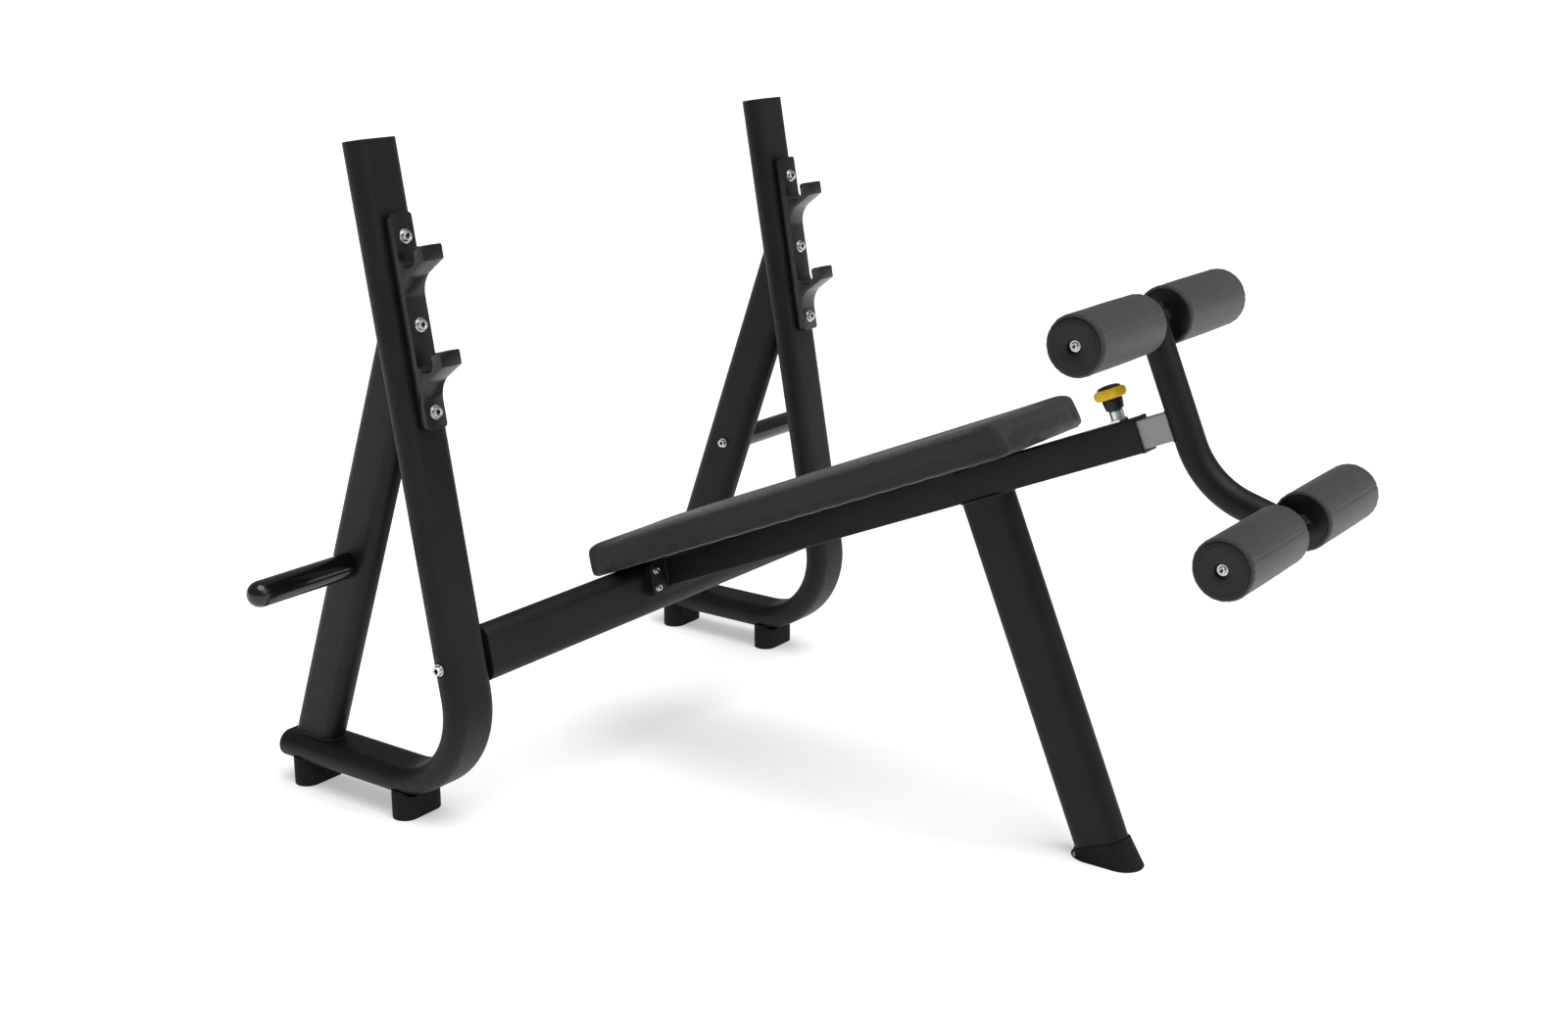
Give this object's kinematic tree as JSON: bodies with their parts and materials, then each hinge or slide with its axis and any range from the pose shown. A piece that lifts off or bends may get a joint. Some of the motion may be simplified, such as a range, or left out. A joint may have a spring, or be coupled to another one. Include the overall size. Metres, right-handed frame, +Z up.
{
  "type": "olympic decline bench",
  "caption": "Decline bench with a padded sloping beam, flat-oval tube uprights with barbell hooks, plate horns and a sliding foam-roller leg holder with a pull pin.",
  "frame": {"origin": "on the floor, at the middle of the bench's length and width", "axes": "+X to the user's right when facing the racks from the roller end, +Y from the rollers to the racks, +Z up"},
  "size_m": [1.7122, 1.8806, 1.3],
  "materials": {
    "frame_powder_coat": "fine-textured satin black powder coat",
    "rack_coat": "smooth semi-gloss black",
    "horn_gloss_coat": "gloss black",
    "foot_rubber": "matte",
    "cap_plastic": "matte moulded",
    "black_plastic": "satin moulded",
    "grained_vinyl": "grained upholstery vinyl",
    "plywood": "raw",
    "satin_slide_steel": "satin grey",
    "bright_steel": "bright turned",
    "zinc_fasteners": "bright zinc plate",
    "yellow_plastic": "moulded"
  },
  "bodies": {
    "frame": {"upright_cap_left": "cap_plastic", "bar_rack_left": "rack_coat", "rack_bolt_left_1": "zinc_fasteners", "rack_bolt_left_2": "zinc_fasteners", "rack_bolt_left_3": "zinc_fasteners", "crossmember_bolt_left": "zinc_fasteners", "upright_cap_right": "cap_plastic", "bar_rack_right": "rack_coat", "rack_bolt_right_1": "zinc_fasteners", "rack_bolt_right_2": "zinc_fasteners", "rack_bolt_right_3": "zinc_fasteners", "crossmember_bolt_right": "zinc_fasteners", "crossmember": "frame_powder_coat", "joint_bolt_lower_left": "zinc_fasteners", "joint_bolt_lower_right": "zinc_fasteners", "joint_bolt_upper_left": "zinc_fasteners", "joint_bolt_upper_right": "zinc_fasteners", "bench_pad": "grained_vinyl", "pad_board": "plywood", "beam_bushing": "black_plastic", "pin_barrel": "bright_steel", "pin_spring": "bright_steel", "upright_left": "frame_powder_coat", "strut_left": "frame_powder_coat", "foot_front_left": "foot_rubber", "foot_rear_left": "foot_rubber", "base_cap_left": "cap_plastic", "plate_horn_left": "horn_gloss_coat", "horn_bolt_left": "zinc_fasteners", "upright_right": "frame_powder_coat", "strut_right": "frame_powder_coat", "foot_front_right": "foot_rubber", "foot_rear_right": "foot_rubber", "base_cap_right": "cap_plastic", "plate_horn_right": "horn_gloss_coat", "horn_bolt_right": "zinc_fasteners", "main_beam": "frame_powder_coat", "front_leg": "frame_powder_coat", "leg_boot": "foot_rubber"},
    "carriage": {"slide_tube": "satin_slide_steel", "roller_post": "frame_powder_coat", "axle_upper": "bright_steel", "axle_bolt_upper_left": "zinc_fasteners", "axle_bolt_upper_right": "zinc_fasteners", "axle_lower": "bright_steel", "axle_bolt_lower_left": "zinc_fasteners", "axle_bolt_lower_right": "zinc_fasteners"},
    "pull_pin": {"pin_plunger": "bright_steel", "knob": "black_plastic", "knob_ring": "yellow_plastic"},
    "roller_upper_left": {"roller_core_upper_left": "black_plastic", "foam_roller_upper_left": "grained_vinyl"},
    "roller_upper_right": {"roller_core_upper_right": "black_plastic", "foam_roller_upper_right": "grained_vinyl"},
    "roller_lower_left": {"roller_core_lower_left": "black_plastic", "foam_roller_lower_left": "grained_vinyl"},
    "roller_lower_right": {"roller_core_lower_right": "black_plastic", "foam_roller_lower_right": "grained_vinyl"}
  },
  "joints": [
    {"name": "carriage_slide", "type": "slide", "parent": "frame", "child": "carriage", "axis": [0, -0.9219, 0.3874], "range_m": [-0.035, 0.105]},
    {"name": "pin_pull", "type": "slide", "parent": "frame", "child": "pull_pin", "axis": [0, 0.3874, 0.9219], "range_m": [0, 0.01], "stiffness_N_per_m": 1200, "springref_m": -0.006, "deforming": ["pin_spring"]},
    {"name": "spin_upper_left", "type": "hinge", "parent": "carriage", "child": "roller_upper_left", "pos_m": [-0.165, -0.6173, 1.0149], "axis": [1, 0, 0], "continuous": true},
    {"name": "spin_upper_right", "type": "hinge", "parent": "carriage", "child": "roller_upper_right", "pos_m": [0.165, -0.6173, 1.0149], "axis": [1, 0, 0], "continuous": true},
    {"name": "spin_lower_left", "type": "hinge", "parent": "carriage", "child": "roller_lower_left", "pos_m": [-0.165, -0.888, 0.6919], "axis": [1, 0, 0], "continuous": true},
    {"name": "spin_lower_right", "type": "hinge", "parent": "carriage", "child": "roller_lower_right", "pos_m": [0.165, -0.888, 0.6919], "axis": [1, 0, 0], "continuous": true}
  ]
}
